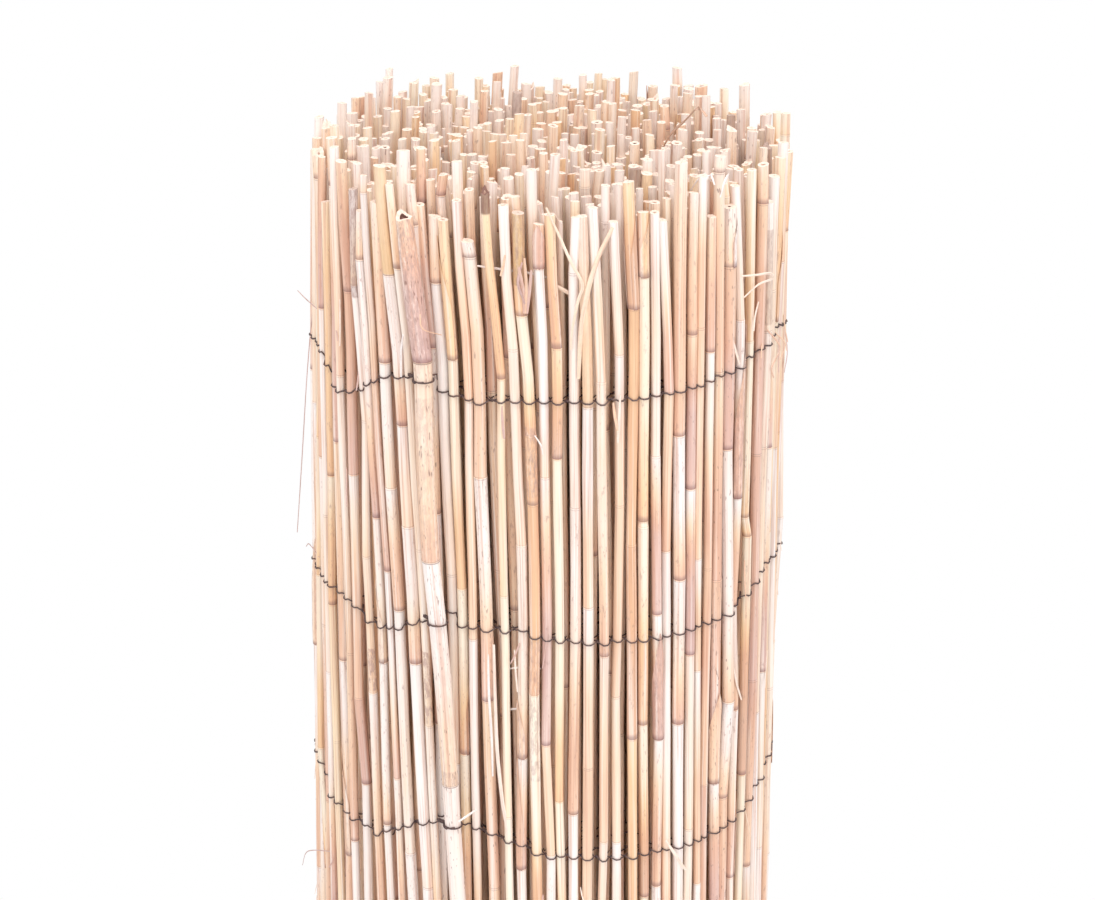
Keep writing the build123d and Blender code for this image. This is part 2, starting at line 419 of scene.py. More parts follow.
class Cane:
    def __init__(self, foot, top, radius, turn, dice):
        self.foot, self.top, self.radius, self.turn = foot, top, radius, turn
        self.height = top[2] - foot[2]
        ends = [complex(*(end[:2] - rollAxis)) for end in (foot, top)]
        self.reach = [abs(end) for end in ends]
        self.angle = [math.atan2(ends[0].imag, ends[0].real)]
        turned = math.atan2((ends[1] / ends[0]).imag, (ends[1] / ends[0]).real)
        self.angle.append(self.angle[0] + turned)
        self.seed = dice.random()
        self.thickEnd = dice.choice((-1, 1))
        self.slant = [dice.uniform(-1, 1) * canePlan["cutSlant"] for axis in range(2)]
        self.broken = dice.random() < canePlan["brokenShare"]
        self.bore = dice.uniform(*canePlan["bore"]) if dice.random() < canePlan["openShare"] else 0.0
        self.splay = [dice.gauss(0, 1) * rollPlan["splay"] for axis in range(2)]
        self.stout = False
        self.covered = False    # by the turn outside it
        self.second = False     # in the layer right behind the outer one
        self.marks = []
        self.shown = []         # joints at known places: height above the foot, sheathed above, waxed below

    # Centre line at heights above the foot, before the steps at its joints
    def line(self, places):
        share = places / self.height
        heights = self.foot[2] + places
        angles = self.angle[0] + (self.angle[1] - self.angle[0]) * share
        reaches = self.reach[0] + (self.reach[1] - self.reach[0]) * share
        push = rollPlan["push"] * rollPlan["pushByTurn"][self.turn]
        if push:
            bearing = bearingOf(angles)
            push = push * follow(rollPlan["pushByBearing"], bearing)
            push = push * follow(rollPlan["pushByHeight"], heights)
            angles = angles + push / reaches
        if self.stout:
            angles = angles + follow(stoutPlan["push"], heights) / reaches
            reaches = reaches + stoutPlan["out"]
        loose = np.clip((heights - wireLevels[0]) / rollPlan["splayHeight"], 0, 2) ** 1.5 * (not self.stout)
        angles = angles + loose * self.splay[0] / np.maximum(reaches, 0.02)
        reaches = reaches + loose * self.splay[1] * rollPlan["splayOut"][self.turn == rollPlan["lastTurn"]]
        return np.stack([
            rollAxis[0] + reaches * np.cos(angles), rollAxis[1] + reaches * np.sin(angles), heights], axis=1)

    # Settles the joints, and the skin of each stretch at its top and at its lower end
    def settle(self, dice):
        joints = sorted(self.shown)
        place = dice.uniform(*canePlan["firstJoint"])
        apart, below = canePlan["jointFree"]
        while place < self.height - below:
            if all(abs(place - shown[0]) > apart for shown in self.shown) and not self.stout:
                sheathed = dice.random() < skinPlan["sheathed"]
                joints.append((place, sheathed, dice.random() < skinPlan["waxed"]))
            place += dice.uniform(*canePlan["jointSpacing"])
        joints.sort()
        spread = skinPlan["spread"]
        usual = dice.choice(skinPlan["usual"]) + dice.gauss(0, spread)
        self.joints = [joint[0] for joint in joints]
        self.sheathed = [False, *[joint[1] for joint in joints]]
        self.lowTones, self.highTones = [usual], []
        for place, sheathed, waxed in joints:
            low = dice.uniform(*skinPlan["sheath"]) if sheathed else usual + dice.gauss(0.03, spread)
            # A covered cane's wax is less pale, as part of the painted warm shade inside the roll
            pale = abs(dice.gauss(0, skinPlan["wax"])) + skinPlan["covered"]["wax"] * self.covered
            high = pale if waxed else usual + dice.gauss(-skinPlan["drift"], skinPlan["drift"])
            self.lowTones.append(low)
            self.highTones.append(high)
        self.highTones.append(min(usual, 0.3) if not self.sheathed[-1] else self.lowTones[-1] - 0.1)
        if self.stout:
            self.lowTones, self.highTones = (list(tones) for tones in stoutPlan["tones"])
        self.fades = [dice.uniform(*skinPlan["fade"]) for stretch in self.lowTones]
        self.kinks = [[dice.gauss(0, 1) * canePlan["kink"] for joint in joints] for axis in range(2)]

    def centres(self, places):
        stops = np.array([0.0, *self.joints, self.height])
        kinks = [np.interp(places, stops, [0.0, *row, 0.0]) for row in self.kinks]
        return self.line(places) + np.stack([*kinks, np.zeros(len(places))], axis=1)

    # Bearing and distance from the axis at a height
    def where(self, height):
        across, deep = self.line(np.array([height - self.foot[2]]))[0][:2] - rollAxis
        return float(bearingOf(math.atan2(deep, across))), math.hypot(across, deep)

    def stretches(self, places):
        return np.searchsorted(np.array(self.joints), places)

    def radii(self, places):
        if self.stout:
            return self.radius * follow(stoutPlan["widths"], self.foot[2] + places)
        lean = canePlan["taper"] * (places / self.height - 0.5) * self.thickEnd
        step = (np.array(self.sheathed, dtype=float) - 0.5) * canePlan["sheathStep"]
        wobble = canePlan["wobble"] * np.sin(places * 70 + self.seed * 60)
        return self.radius * (1 - lean + wobble) * (1 + step[self.stretches(places)])

    # Place in the skin's ramp: from the tone at the stretch's top to the one at its lower end
    def tones(self, places):
        own = self.stretches(places)
        stops = np.array([0.0, *self.joints, self.height])
        share = (stops[own + 1] - places) / (stops[own + 1] - stops[own])
        turned = np.array(self.fades)[own]
        share = np.clip((share - turned + skinPlan["fadeStart"]) / skinPlan["fadeLength"], 0, 1)
        share = share * share * (3 - 2 * share)
        tones = np.array(self.highTones)[own] * (1 - share) + np.array(self.lowTones)[own] * share
        depth = self.height - places
        # Painted shade: a covered cane goes to one warm straw tone below its top, for the warm shade between
        # the outer canes, and its tone is kept from the palest
        plan = skinPlan["covered"]
        if self.covered:
            share = plan["share"] * (plan["second"] if self.second else 1)
            tones += (plan["tone"] - tones) * share * np.clip((depth - plan["below"]) / plan["over"], 0, 1)
        # Painted top light: the skin is paler near the cut top, standing in for the light that falls on the
        # tops from above
        paler, down = skinPlan["paintedTopLight"]
        return np.maximum(tones - paler * np.clip(1 - depth / down, 0, 1), plan["least"] * self.covered)


gapPlan = {
    "window": 7,                # canes over which the gaps even out
    "share": 0.5,               # of the way to even gaps
    "left": 0.0006,             # of a gap, when a cane fills it
    "thin": 0.5,                # of the canes, those that stay as thin as they are
    "fill": 1.8,
    "nestShift": 0.0024,        # most that a second cane moves sideways
    "nestPush": 0.0016,         # and outwards
    "clear": 0.0002,            # between neighbours
}


# Evens out the gaps between the canes of the outer turns, and lets some canes fill what is left of them
def closeGaps(order):
    gaps = []
    for end in range(2):
        angles = np.unwrap([cane.angle[end] for cane in order])
        reaches = np.array([cane.reach[end] for cane in order])
        radii = np.array([cane.radius for cane in order])
        spans = np.abs(np.diff(angles)) * (reaches[1:] + reaches[:-1]) / 2
        own = spans - radii[1:] - radii[:-1]
        window = gapPlan["window"]
        padded = np.pad(own, window // 2, mode="reflect")
        even = np.convolve(padded, np.ones(window) / window, mode="valid")
        shifts = np.concatenate([[0.0], np.cumsum((even - own) * gapPlan["share"])])
        for cane, shift, reach in zip(order, shifts, reaches):
            cane.angle[end] -= shift / reach
        gaps.append(own + (even - own) * gapPlan["share"])
    least = np.minimum(*gaps)
    room = np.minimum(np.append(least, 0), np.insert(least, 0, 0)) - gapPlan["left"]
    for cane, space in zip(order, room):
        cane.radius += max(0.0, space) / 2 * max(0.0, gapPlan["fill"] * (cane.seed - gapPlan["thin"]))


# Moves canes of the second layer outwards into the gaps of the outer one
def nestCanes(outer, second):
    for end in range(2):
        places = np.unwrap([cane.angle[end] for cane in outer])
        gaps = (places[1:] + places[:-1]) / 2
        last = None
        for cane in second:
            offs = (gaps - cane.angle[end] + math.pi) % (2 * math.pi) - math.pi
            off = offs[np.abs(offs).argmin()]
            limit = gapPlan["nestShift"] / cane.reach[end]
            moved = cane.angle[end] + max(-limit, min(limit, off))
            cane.reach[end] += gapPlan["nestPush"]
            apart = math.inf
            if last is not None:
                apart = abs(math.remainder(moved - last.angle[end], 2 * math.pi)) * cane.reach[end]
                apart -= cane.radius + last.radius
            if apart >= gapPlan["clear"]:
                cane.angle[end] = moved
            last = cane


# How far a cane passes from a bearing at a height, where canes further in count as further off
def offPlace(cane, bearing, height):
    across, outward = cane.where(height)
    return abs(math.radians(across - bearing)) * outward + 1.5 * (rollPlan["outside"] - outward)


# Gives each joint at a known place to the outermost cane that passes there
def placeShownJoints(canes):
    for (above, below), places in shownJoints.items():
        for bearing, height in places:
            nearest = min(canes, key=lambda cane: offPlace(cane, bearing, height / 1000))
            if not nearest.stout:
                nearest.shown.append((height / 1000 - nearest.foot[2], above == "sheathed", below == "waxed"))


# Heights at which a cane has a ring
def ringPlaces(cane, reach):
    width = canePlan["jointWidth"]
    seen = [joint for joint in cane.joints if joint > cane.height - reach]
    rings = {0.0, cane.height}
    for joint in seen:
        rings.update(joint + width * share for share in (-1.2, -0.4, 0.4, 1.2))
    for low, high, kind in cane.marks:
        rings.update(edge - cane.foot[2] + side for edge in (low, high) for side in (-width / 2, width / 2))
    stops = [max(0.0, cane.height - reach), *seen, cane.height]
    for low, high in zip(stops, stops[1:]):
        steps = max(1, round((high - low) / canePlan["ringSpacing"]))
        rings.update(low + (high - low) * step / steps for step in range(1, steps))
    return np.array(sorted(place for place in rings if 0 <= place <= cane.height))


def growCane(body, cane, sides, reach, dice):
    turn = np.arange(sides) * 2 * math.pi / sides + cane.seed * 6
    circle = np.stack([np.cos(turn), np.sin(turn), np.zeros(sides)], axis=1)
    places = ringPlaces(cane, reach)
    nowhere = (-1.0, 9.0)       # stand for joints below the first and above the last
    joints = [joint for joint in cane.joints if joint > cane.height - reach]
    joints = np.array([nowhere[0], *joints, nowhere[1]])
    past = np.searchsorted(joints, places)
    above, below = places - joints[past - 1], joints[past] - places
    atJoint = np.minimum(above, below) < canePlan["jointWidth"] * 0.6
    radii = cane.radii(places) * (1 + canePlan["jointSwell"] * atJoint)
    rings = cane.centres(places)[:, None, :] + circle[None] * radii[:, None, None]
    ragged = (circle[:, 0] * cane.slant[0] + circle[:, 1] * cane.slant[1]) * cane.radius
    if cane.broken:
        toward = (math.cos(cane.seed * 9), math.sin(cane.seed * 9), 0)
        splinter = (stoutPlan if cane.stout else canePlan)["splinter"]
        ragged += splinter * np.clip(circle @ toward, 0, 1) ** 3
        ragged += np.array([dice.uniform(-1, 1) * canePlan["ragged"] for side in range(sides)])
    rings[-1, :, 2] += ragged

    look = np.stack([
        cane.tones(places), np.array(cane.sheathed, dtype=float)[cane.stretches(places)],
        np.full(len(places), cane.seed)], axis=1)
    coord = circle[None] * radii[:, None, None]
    coord[:, :, 2] = places[:, None] + cane.seed * 40
    near = np.stack([above, below, np.zeros(len(places))], axis=1)
    marks = np.zeros((len(places), 3))
    for low, high, kind in cane.marks:
        inside = (places + cane.foot[2] > low) & (places + cane.foot[2] < high)
        marks[inside] = np.maximum(marks[inside], kind)
    index = body.tube(rings, {
        "caneLook": look[:, None], "caneCoord": coord,
        "caneJoint": near[:, None], "caneMark": marks[:, None]})

    # The cut top with its bore, and the foot
    def inward(scale, drop):
        middle = rings[-1].mean(axis=0)
        return middle + (rings[-1] - middle) * scale - (0, 0, drop)
    edge = 0.0004               # how far the bore's edge is worn down
    rim = inward(cane.bore + canePlan["wall"], -edge / 4)
    caps = [([inward(1.0, 0), rim, inward(cane.bore or 0.05, edge)], 1.0)]
    if cane.bore:
        depth = canePlan["boreDepth"] * (stoutPlan["boreDepth"] if cane.stout else 1)
        caps.append(([inward(cane.bore, edge), inward(cane.bore * 0.9, depth)], 2.0))
    for part, kind in caps:
        part = np.stack(part)
        own = np.broadcast_to(coord[-1], part.shape)
        own = body.tube(part, {
            "caneLook": look[-1], "caneCoord": own,
            "caneJoint": (1.0, 1.0, kind), "caneMark": marks[-1] * 0.5})
    body.lid(own[-1])
    body.lid(index[0][::-1])


# A closed band of the given outer and inner edge points, each of shape (rings, points, 3)
def growBand(body, outer, inner, extras):
    index = body.tube(np.concatenate([outer, inner[:, ::-1]], axis=1), extras)
    body.lid(index[0][::-1])
    body.lid(index[-1])


def growSheath(body, cane, low, high, dice):
    points, taper = sheathPlan["points"], sheathPlan["taper"]
    share = np.linspace(0, 1, points)[:, None]
    around = np.linspace(-0.5, 0.5, points)[None]
    places = low + (high - low) * share[:, 0]
    narrowing = np.clip((share - taper) / (1 - taper), 0, 1)
    arc = math.radians(dice.uniform(*sheathPlan["arc"])) * (1 - 0.98 * narrowing)
    angles = dice.uniform(0, 2 * math.pi) + arc * around
    reach = cane.radii(places)[:, None] * 1.01 + sheathPlan["proud"] + np.zeros_like(angles)
    reach += dice.uniform(*sheathPlan["peel"]) * share ** 3 + sheathPlan["curl"] * (2 * np.abs(around)) ** 3
    middle = cane.centres(places)[:, None]
    facing = np.stack([np.cos(angles), np.sin(angles), np.zeros_like(angles)], axis=2)
    outer = middle + facing * reach[..., None]
    inner = middle + facing * (reach - sheathPlan["thickness"])[..., None]
    coord = facing * reach[..., None]
    coord[..., 2] = places[:, None] + cane.seed * 40 + 3
    tone = float(cane.tones(np.array([low + 0.01]))[0]) + dice.gauss(-0.1, 0.08)
    near = np.stack([places - low, np.ones(points), np.zeros(points)], axis=1)
    growBand(body, outer, inner, {
        "caneLook": (tone, 1.0, cane.seed), "caneCoord": np.concatenate([coord, coord[:, ::-1]], axis=1),
        "caneJoint": near[:, None], "caneMark": (0.0, 0.0, dice.uniform(0, 0.5))})


def caneMaterial():
    graph = Graph("cane")
    tone, sheath, seed = graph.split(graph.attribute("caneLook", "Vector"))
    above, below, end = graph.split(graph.attribute("caneJoint", "Vector"))
    coord = graph.attribute("caneCoord", "Vector")
    amber, dark, mottled = graph.split(graph.attribute("caneMark", "Vector"))

    # Noise that is drawn out along the cane: points for each metre across it and along it
    def grain(across, along, detail, roughness):
        return graph.noise(graph.vector("MULTIPLY", coord, (across, across, along)), 1.0, detail, roughness)
    fibre = grain(1100.0, 12.0, 2.0, 0.6)
    streak = grain(420.0, 6.0, 2.0, 0.6)
    patch = grain(120.0, 22.0, 3.0, 0.6)
    speck = grain(900.0, 220.0, 1.0, 0.5)
    vein = grain(620.0, 170.0, 4.0, 0.7)
    worn = patch - 0.5

    skin = graph.ramp(tone + worn * 0.3, [
        (0.00, tint(249, 243, 240)), (0.12, tint(248, 234, 226)), (0.26, tint(246, 225, 206)),
        (0.38, tint(244, 214, 186)), (0.50, tint(238, 200, 172)), (0.62, tint(229, 186, 163)),
        (0.75, tint(222, 186, 173)), (0.87, tint(208, 177, 172)), (1.00, tint(180, 140, 128))])
    skin = graph.mix(seed.between(0.3, 0.25) * 0.7, skin, tint(255, 248, 222), "MULTIPLY")
    band = (above + worn * 0.004).between(0.004, 0.0005) * sheath * 0.6
    ring = above.least(below).between(0.0010, 0.0002) * (seed * 0.4 + 0.35)
    layers = (
        (streak.between(0.5, 0.72) * 0.7, (252, 241, 232)),
        (streak.between(0.48, 0.3) * 0.55, (214, 164, 140)),
        (fibre.between(0.55, 0.75) * 0.35, (255, 246, 238)),
        (fibre.between(0.45, 0.28) * 0.45, (188, 136, 114)),
        (vein.between(0.56, 0.7) * sheath * 0.45, (166, 128, 118)),
        (amber * (0.7 + streak * 0.3), (228, 182, 112)),
        (mottled * vein.between(0.44, 0.6) * 0.8, (190, 158, 150)),
        (mottled * vein.between(0.44, 0.32) * 0.8, (244, 228, 218)),
        (mottled * speck.between(0.6, 0.7) * 0.45, (150, 110, 98)),
        (dark * (0.6 + fibre * 0.4), (118, 74, 64)),
        (band, (142, 104, 104)),
        (ring, (136, 98, 90)),
        (speck.between(0.66, 0.74) * seed.between(0.7, 0.95) * 0.6, (140, 104, 96)))
    for share, shade in layers:
        skin = graph.mix(share, skin, tint(*shade))
    cut = graph.mix(fibre.between(0.35, 0.7) * 0.5, tint(232, 214, 200), tint(206, 172, 152))
    cut = graph.mix((dark * 2.0).least(1.0), cut, tint(112, 70, 60))
    # Painted shade: the bore's wall and floor are pale pink, but dark brown on the canes of the highest
    # seeds, the stout one among them, which paints the shade deep inside a hollow cane
    boreWithPaintedShade = graph.mix(seed.between(0.86, 0.9), tint(226, 190, 170), tint(112, 78, 68))
    colour = graph.mix(end.between(0.4, 0.6), skin, cut)
    colour = graph.mix(end.between(1.4, 1.6), colour, boreWithPaintedShade)
    relief = fibre * 0.6 + streak * 0.8 + patch * 0.3 + vein * mottled * 0.8
    return graph.surface(
        {"Base Color": colour, "Roughness": 0.62 + worn * 0.25 + sheath * 0.1, "Specular IOR Level": 0.22,
         "Normal": graph.bump(relief, 0.0008, 0.8)})


dice = random.Random(canePlan["seed"])
caneFinish = caneMaterial()
canes = [[Cane(*cane, number, dice) for cane in found] for number, found in enumerate(turns)]
stoutCane = canes[-1][0]
stoutCane.stout = stoutCane.broken = True
stoutCane.bore, stoutCane.seed = stoutPlan["bore"], stoutPlan["seed"]
stoutCane.marks = list(stoutPlan["marks"])
stoutCane.shown = [
    (height - stoutCane.foot[2], height == stoutPlan["joints"][-1], height != stoutPlan["joints"][-1])
    for height in stoutPlan["joints"]]
outermost = [cane for turn in canes[-2:] for cane in turn]
order = [cane for turn in reversed(canes) for cane in turn]     # along the mat, from its outer end
closeGaps(order[1:len(outermost)])
swept = 0.0                     # round the roll, up to this cane
for before, cane in zip(order, order[1:]):
    swept += abs(math.remainder(cane.angle[1] - before.angle[1], 2 * math.pi))
    cane.covered = swept > 2 * math.pi
    cane.second = 2 * math.pi < swept < 4 * math.pi
nestCanes([cane for cane in order if not cane.covered], [cane for cane in order if cane.second])
placeShownJoints(outermost)
for plan in markedCanes:
    if "bearing" in plan:
        low, high, mark = plan["marks"][0]
        height = (low + high) / 2 if high < 1 else 0.97     # just below the tops
        marked = min(outermost, key=lambda cane: offPlace(cane, plan["bearing"], height))
    else:
        marked = min(order, key=lambda cane: math.dist(cane.top, plan["top"]))
    if not marked.stout:
        marked.marks += plan["marks"]
        marked.radius *= plan.get("girth", 1.0)
        marked.broken |= plan.get("broken", False)
        if "joint" in plan:
            marked.shown.append((plan["joint"] - marked.foot[2], False, True))
print("canes read,", sum(len(cane.shown) for turn in canes for cane in turn), "joints at known places")
for number, (name, own) in enumerate(zip(caneNodes, canes)):
    fromOutside = len(caneNodes) - number
    kind = "outer" if fromOutside <= 2 else "second" if fromOutside == 3 else "inner"
    body = Growing(caneValues)
    for cane in own:
        cane.settle(dice)
        reach = canePlan["innerReach"] if kind == "inner" else math.inf
        growCane(body, cane, canePlan["sides"][kind], reach, dice)
        for low, high, sheathed in zip(cane.joints, [*cane.joints[1:], cane.height], cane.sheathed[1:]):
            length = dice.uniform(*sheathPlan["length"])
            if kind == "outer" and sheathed and not cane.stout and dice.random() < sheathPlan["share"]:
                growSheath(body, cane, low, min(high, low + length), dice)
    piece = body.build(name.replace("canes", "reeds"), caneFinish)
    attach(piece, "root")
    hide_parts(name)

# Shreds of leaf and sheath that hang on the roll, and straws caught in the wire: width in mm, tone, and
# a path of bearing in degrees, height in mm and distance in mm from the surface
shredPlan = (
    (1.5, 0.3, ((-3.0, 1000, 0), (0.4, 985, 1), (3.0, 973, 1), (5.7, 962, 1), (4.8, 954, 1), (3.4, 938, 1),
        (3.2, 928, 0))),
    (2.6, 0.34, ((12.7, 990, 0), (9.7, 977, 1), (7.9, 966, 1), (6.6, 954, 1), (5.6, 938, 0), (5.2, 912, -1))),
    (1.6, 0.22, ((47.0, 922, 0), (49.7, 906, 1))),
    (1.3, 0.22, ((52.1, 940, 0), (56.6, 945, 2), (62.4, 945, 3), (60.5, 949, 3), (54.9, 951, 2),
        (49.8, 953, 1))),
    (1.8, 0.22, ((29.7, 637, 0), (32.3, 626, 2.5), (35.2, 615, 2))),
    (1.3, 0.12, ((-20.1, 967, -5), (-13.2, 966, -5), (-6.9, 965, -5), (-0.5, 962, -5))),
    (2.0, 0.3, ((-2.4, 961, -5), (4.8, 953, -5))),
    (1.2, 0.1, ((-12.4, 746, -5), (-8.5, 748, -5), (-3.1, 748, -5))),
    (1.3, 0.1, ((-12.8, 722, -5), (-4.5, 725, -5))),
    (1.4, 0.9, ((-82, 912, 0), (-84, 888, 2), (-86, 862, 4), (-88, 831, 6), (-88, 801, 8), (-88, 772, 10))),
    (1.5, 0.85, ((86, 900, 0), (84, 888, 2), (81, 878, 1))),
    (0.6, 0.9, ((-74, 918, 0), (-84, 916, 4), (-88, 917, 8))),
    (0.6, 0.9, ((-74, 772, 0), (-84, 769, 3), (-88, 763, 5))),
    (0.6, 0.9, ((-66, 592, 0), (-78, 575, 3), (-86, 560, 7), (-88, 548, 9))),
    (1.3, 0.02, ((-34.4, 932, 0), (-36.3, 921, 0.5), (-36.5, 907, 0))),
    (2.0, 0.2, ((-14.6, 763, 0), (-14.0, 731, 1), (-13.4, 700, 1), (-12.1, 671, 1), (-10.6, 645, 1),
        (-10.5, 603, 0))),
    (1.4, 0.03, ((-16.0, 766, 0), (-15.6, 736, 1), (-14.8, 707, 1), (-14.6, 684, 0))),
    (1.4, 0.05, ((-20.5, 662, 0), (-18.2, 663, 2))),
    (1.2, 0.6, ((63.0, 916, 0), (67.5, 906, 3), (69.4, 900, 3), (64.6, 894, 2), (67.7, 886, 1))),
    (1.0, 0.5, ((69.4, 910, 0), (74.3, 900, 3), (72.7, 892, 1))),
    (0.8, 0.05, ((-5.1, 882, 0), (-3.5, 877, 1), (-3.1, 872, 0.5))),
    (1.3, 0.9, ((-8.5, 972, 0), (-9.3, 962, 1.5), (-7.7, 951, 0.5))),
    (1.8, 0.72, ((-7.9, 946, 0), (-8.2, 958, 0.8), (-9.2, 970, 2.0))),
    (1.5, 0.5, ((-7.6, 946, 0), (-7.4, 960, 1.0), (-7.8, 975, 2.4))),
    (1.6, 0.78, ((-7.2, 946, 0), (-6.6, 959, 0.9), (-6.2, 969, 1.8))),
)

# Straws that stick out of the top: width in mm, tone, how amber, dark and mottled they are, and places
strawPlan = (
    (2.6, 0.8, (0.35, 0.3, 0.1), ((0.055, -0.012, 0.99), (0.062, -0.032, 1.012), (0.068, -0.052, 1.025),
        (0.074, -0.066, 1.036), (0.078, -0.07, 1.033))),
    (1.2, 0.0, (0.0, 0.0, 0.15), ((0.076, -0.094, 1.0), (0.077, -0.097, 1.008), (0.079, -0.098, 1.011),
        (0.081, -0.098, 1.006))),
    (1.0, 0.05, (0.0, 0.0, 0.15), ((0.07, -0.088, 1.0), (0.073, -0.091, 1.006), (0.077, -0.089, 1.009),
        (0.08, -0.085, 1.004))),
    (1.1, 0.0, (0.0, 0.0, 0.15), ((0.084, -0.099, 1.0), (0.086, -0.098, 1.008), (0.088, -0.094, 1.01),
        (0.087, -0.09, 1.004))),
)

shredShape = {
    "mark": (0.0, 0.0, 0.15),   # how amber, dark and mottled a shred is
    "spacing": 0.003,           # from point to point along it
    "thickness": 0.0002,
    "curl": 0.9,                # how round it is across, as a share of its width
    "tips": 0.25,               # width of its ends, as a share
}


# Smooth points along a path of a few
def smoothPath(points):
    points = np.array(points, dtype=float)
    ends = np.concatenate([[2 * points[0] - points[1]], points, [2 * points[-1] - points[-2]]])
    found = [points[0]]
    for before, start, stop, after in zip(ends, ends[1:], ends[2:], ends[3:]):
        steps = max(2, round(np.linalg.norm(stop - start) / shredShape["spacing"]))
        for share in np.arange(1, steps + 1) / steps:
            found.append(0.5 * (2 * start + (stop - before) * share
                                + (2 * before - 5 * start + 4 * stop - after) * share ** 2
                                + (3 * start - before - 3 * stop + after) * share ** 3))
    return np.array(found)


# Distance from the axis of the outermost cane near a bearing
def surfaceReach(bearing, height):
    near = [outward + cane.radius for cane in outermost for across, outward in [cane.where(height)]
            if abs((across - bearing + 180) % 360 - 180) < 3.5]
    return max(near)


# Places of a path that is given in bearing, height and distance from the surface
def onSurface(path):
    for bearing, height, lift in path:
        reach = surfaceReach(bearing, height / 1000) + lift / 1000
        angle = math.radians(bearing - 90)
        yield rollAxis[0] + reach * math.cos(angle), rollAxis[1] + reach * math.sin(angle), height / 1000


def growShred(body, width, tone, mark, points):
    points = smoothPath(points)
    ahead = np.gradient(points, axis=0)
    ahead /= np.linalg.norm(ahead, axis=1)[:, None]
    outward = points - (*rollAxis, 0)
    outward[:, 2] = 0
    across = np.cross(ahead, outward)
    across /= np.linalg.norm(across, axis=1)[:, None]
    outward = np.cross(across, ahead)
    share = np.linspace(0, 1, len(points))[:, None]
    tips = shredShape["tips"]
    width = width / 1000 * (tips + (1 - tips) * np.sin(math.pi * (0.12 + 0.76 * share)) ** 0.6)
    around = np.linspace(-0.5, 0.5, 5)[None]
    side = across[:, None] * (around * width)[..., None]
    curl = outward[:, None] * (-shredShape["curl"] * around ** 2 * width)[..., None]
    outer = points[:, None] + side + curl
    inner = outer - outward[:, None] * shredShape["thickness"]
    coord = np.stack([around * width, 0 * around * width, share * 0.2 + 0 * around], axis=2)
    growBand(body, outer, inner, {
        "caneLook": (tone, 0.3, 0.4), "caneCoord": np.concatenate([coord, coord[:, ::-1]], axis=1),
        "caneJoint": (1.0, 1.0, 0.0), "caneMark": mark})


# Small torn strips all round, half of them by the wire, in mm
scrapPlan = {
    "seed": 9,
    "count": 90,
    "width": (0.5, 1.5),
    "length": (6, 26),
    "lift": (0.5, 2.5),
    "heights": (450, 985),      # of those away from the wire
    "byWire": (4, 8),           # above a row, and how unevenly
    "drift": 1.6,               # in degrees
    "tones": (0.2, 0.3, 0.5, 0.8),
}


def scraps():
    dice = random.Random(scrapPlan["seed"])
    for number in range(scrapPlan["count"]):
        bearing = dice.uniform(-180, 180)
        heights = [level * 1000 + dice.gauss(*scrapPlan["byWire"]) for level in wireLevels]
        height = dice.choice(heights + [dice.uniform(*scrapPlan["heights"])] * len(heights))
        length, lift = dice.uniform(*scrapPlan["length"]), dice.uniform(*scrapPlan["lift"])
        drift = dice.gauss(0, scrapPlan["drift"])
        yield dice.uniform(*scrapPlan["width"]), dice.choice(scrapPlan["tones"]), (
            (bearing, height, 0), (bearing + drift * 0.4, height - length / 2, lift * 0.4),
            (bearing + drift, height - length, lift))


body = Growing(caneValues)
for width, tone, path in (*shredPlan, *scraps()):
    growShred(body, width, tone, shredShape["mark"], list(onSurface(path)))
for straw in strawPlan:
    growShred(body, *straw)
piece = body.build("leaf_shreds", caneFinish)
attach(piece, "root")


# Binding wire: one strand in front of the canes and one behind, twisted round each other between them
wirePlan = {
    "seed": 40,                 # of the first row
    "radius": 0.00045,
    "sides": {"outer": 4, "inner": 3},
    "outerTurns": 2,
    "wrap": 52,                 # degrees to each side that a strand lies on a cane
    "smile": (0.0002, 0.0011),  # by how much a twist sits above the strand on the cane beside it
    "twist": 0.00055,           # radius of the twisted pair
    "wander": 0.0004,           # how unevenly high a strand lies
    "innerSmile": 0.001,        # the same as smile inside the outer turns
    "crossing": 0.0005,         # how far apart the strands cross where there is no twist
    "fade": 150,                # canes inside the outer turns over which a row grows level
    "tightGap": 0.0012,         # widest gap between canes that has no twist
    "coil": 0.003,              # length of one twist
    "tie": {"sides": 5, "points": 24, "off": 0.0002, "pitch": 0.0004},
    "tail": {"points": 26, "coils": 2.2, "radius": 0.0006, "length": 0.005, "rise": 0.0015, "drop": 0.001},
    # mm above or below the row's level, by bearing, of the first three rows; the others take them in turn
    "offsets": (
        ((-180, 0), (-95, -4), (-72, -2), (-63, -17), (-57, -13), (-50, -4), (-44, 4), (-38, 7.5), (-33, 9),
         (-31, 0), (-21, -2.5), (-14, 0), (30, 0), (50, 3.5), (66, 8), (72, 12), (80, 7), (95, 0), (180, 0)),
        ((-180, 0), (-95, -3), (-75, -2.5), (-58, -1), (-50, -7), (-43, -3), (-37, 5), (-31, 10), (-29, 4),
         (-12, 5), (-5, 1), (10, -2), (35, -4.5), (48, -4), (57, 1), (68, 9), (80, 5.5), (95, 0), (180, 0)),
        ((-180, 0), (-95, 0), (-75, 9), (-68, -4), (-50, -3.5), (-43, 7), (-36, 18), (-28.6, 23), (-26.8, 16),
         (-18, 11.5), (-12, 9.5), (-6, 3), (5, 2), (16, -1.5), (40, -5.5), (52, -4.5), (60, -2.5), (68, 3.5),
         (77, 10), (95, 0), (180, 0)),
    ),
}


up = np.array([0.0, 0.0, 1.0])


